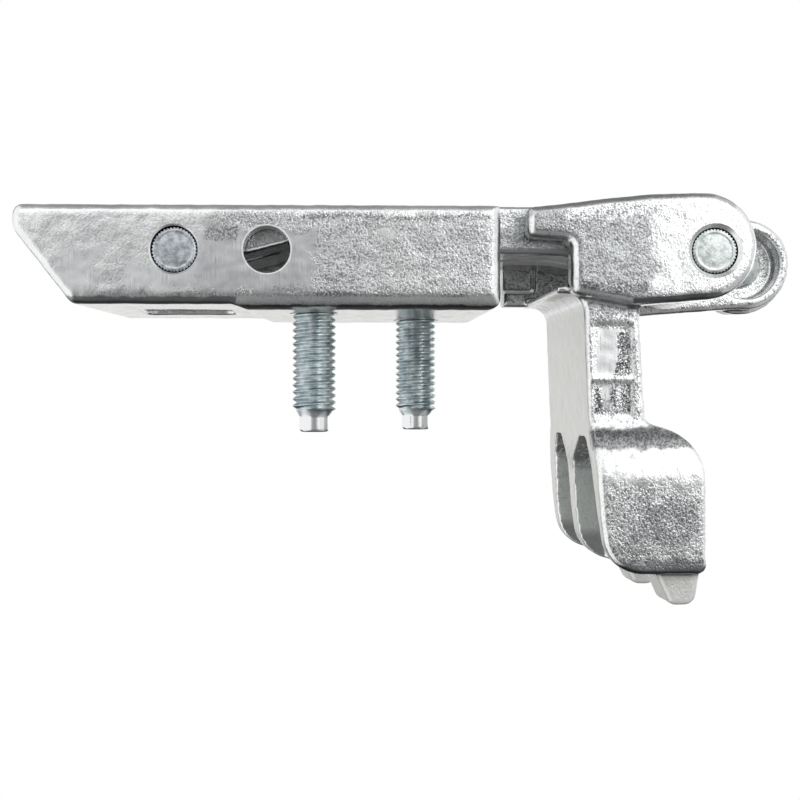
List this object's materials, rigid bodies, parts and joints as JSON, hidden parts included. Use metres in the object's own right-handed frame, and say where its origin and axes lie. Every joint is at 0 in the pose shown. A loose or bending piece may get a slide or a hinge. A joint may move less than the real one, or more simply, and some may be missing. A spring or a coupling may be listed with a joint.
{
  "type": "spare tire carrier hinge",
  "caption": "Double-pivot swing hinge: a channel housing on two studs, a link arm inside it, and a two-eared bracket whose leg ends in a ribbed foot.",
  "frame": {"origin": "midway between the two studs, on the housing's mounting face", "axes": "+X along the arm from the housing's nose to the bracket, +Y across it away from the wall with the access hole, +Z away from the mounting face"},
  "size_m": [0.1508, 0.0489, 0.0744],
  "materials": {
    "casting": "rough cast, bright zinc plated",
    "pin": "zinc plated, knurled end",
    "stud": "zinc plated",
    "bush": "plain bronze",
    "buffer": "matte black"
  },
  "bodies": {
    "housing": {"housing": "casting", "housing_pin": "pin", "stud_near": "stud", "stud_far": "stud", "link_buffer": "buffer"},
    "link": {"link_arm": "casting", "nose_bush_near": "bush", "nose_bush_far": "bush", "ear_bush_near": "bush", "ear_bush_far": "bush"},
    "bracket": {"bracket": "casting", "bracket_pin": "pin", "stop_pin": "pin"}
  },
  "joints": [
    {"name": "link_swing", "type": "hinge", "parent": "housing", "child": "link", "pos_m": [-0.0343, 0, 0.0104], "axis": [0, -1, 0], "range_deg": [0, 90]},
    {"name": "bracket_swing", "type": "hinge", "parent": "link", "child": "bracket", "pos_m": [0.0605, 0, 0.0104], "axis": [0, -1, 0], "range_deg": [0, 180]}
  ]
}
